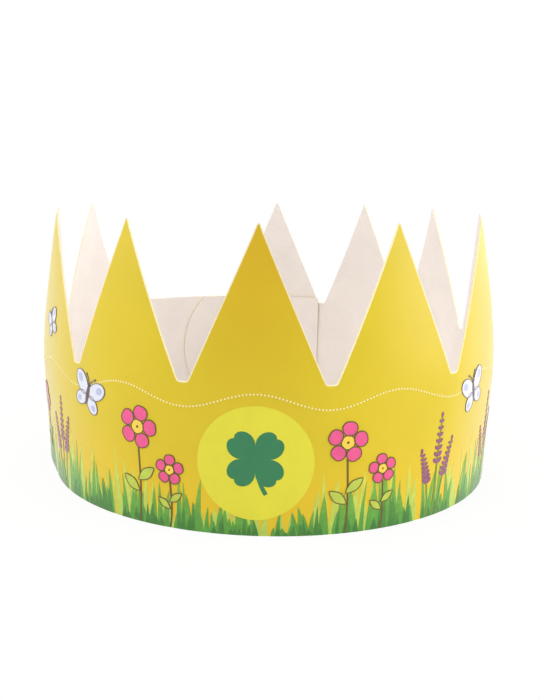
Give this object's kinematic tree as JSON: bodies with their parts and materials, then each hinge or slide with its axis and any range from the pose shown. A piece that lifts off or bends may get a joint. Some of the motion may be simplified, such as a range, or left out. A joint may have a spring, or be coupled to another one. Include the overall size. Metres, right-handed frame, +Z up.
{
  "type": "cardboard crown",
  "caption": "Open oval crown of one die-cut card strip with sharp points, printed outside and bare inside, closed at the back by two interlocking half slits.",
  "frame": {"origin": "centre of the crown's outline, on the plane of its lower edge", "axes": "+Z up along the points, -Y toward the front point, +X to the right when the front is faced"},
  "size_m": [0.181, 0.1916, 0.1],
  "materials": {
    "printed_card": "printed and lightly coated outside, bare inside"
  },
  "bodies": {
    "root": {"crown_band": "printed_card"}
  },
  "joints": []
}
